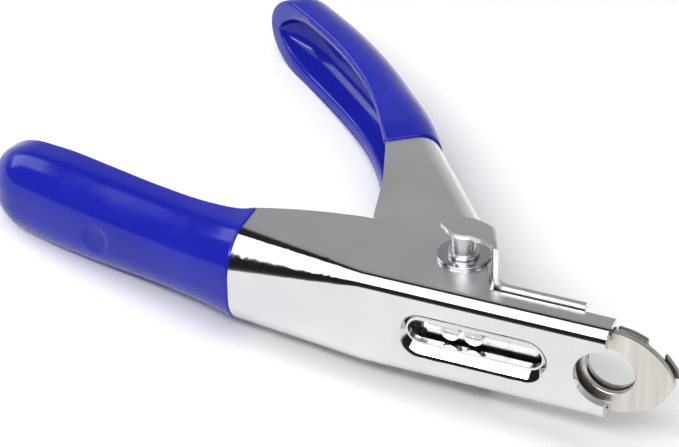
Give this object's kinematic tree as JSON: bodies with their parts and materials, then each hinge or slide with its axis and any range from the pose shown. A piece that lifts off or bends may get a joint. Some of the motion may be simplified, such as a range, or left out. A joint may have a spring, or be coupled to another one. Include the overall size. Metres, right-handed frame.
{
  "type": "pet nail trimmer",
  "caption": "Guillotine-type pet nail trimmer with two spring-opened squeeze handles, soft vinyl grips, a sliding blade and a pointed nose plate with a round nail hole.",
  "frame": {"origin": "centre of the nail hole on the front face of the nose plate", "axes": "+X forward to the nose, +Y from the fixed handle's web towards the moving handle, +Z along the pivot pin"},
  "size_m": [0.1331, 0.0865, 0.03],
  "materials": {
    "chrome": "polished plating",
    "blue_vinyl": "glossy dip-moulded vinyl",
    "brushed_stainless": "fine brushed",
    "plated_steel": "dull nickel plating",
    "spring_steel": "drawn wire",
    "nylon": "natural nylon",
    "bronze": "sintered bronze"
  },
  "bodies": {
    "body": {"body_channel": "chrome", "fixed_grip": "blue_vinyl", "nose_plate": "brushed_stainless", "blade_guide": "brushed_stainless", "nose_backing": "brushed_stainless", "nose_rivets": "plated_steel", "pivot_washer_top": "chrome", "pivot_washer_bottom": "chrome", "spring_bracket": "plated_steel", "rod_bush": "bronze", "return_spring": "spring_steel"},
    "lever": {"moving_handle": "chrome", "moving_grip": "blue_vinyl", "saddle_strap": "chrome", "pivot_pin": "plated_steel", "pivot_collar_top": "chrome", "pivot_collar_bottom": "chrome", "pivot_spacer": "plated_steel", "thrust_washer_top": "nylon", "thrust_washer_bottom": "nylon"},
    "carriage": {"blade_carriage": "plated_steel", "blade": "brushed_stainless", "blade_screws": "plated_steel", "guide_rod": "plated_steel", "rod_washer": "plated_steel", "rod_nut": "plated_steel"}
  },
  "joints": [
    {"name": "handle_squeeze", "type": "hinge", "parent": "body", "child": "lever", "pos_m": [-0.03, 0.0102, 0], "axis": [0, 0, 1], "range_deg": [0, 41.5], "stiffness_Nm_per_rad": 0.05, "springref_deg": -34.38},
    {"name": "blade_slide", "type": "slide", "parent": "body", "child": "carriage", "axis": [1, 0, 0], "range_m": [0, 0.0084], "deforming": ["return_spring"]}
  ],
  "couplings": [
    {"joint": "blade_slide", "follows": "handle_squeeze", "m_per_rad": 0.010808}
  ]
}
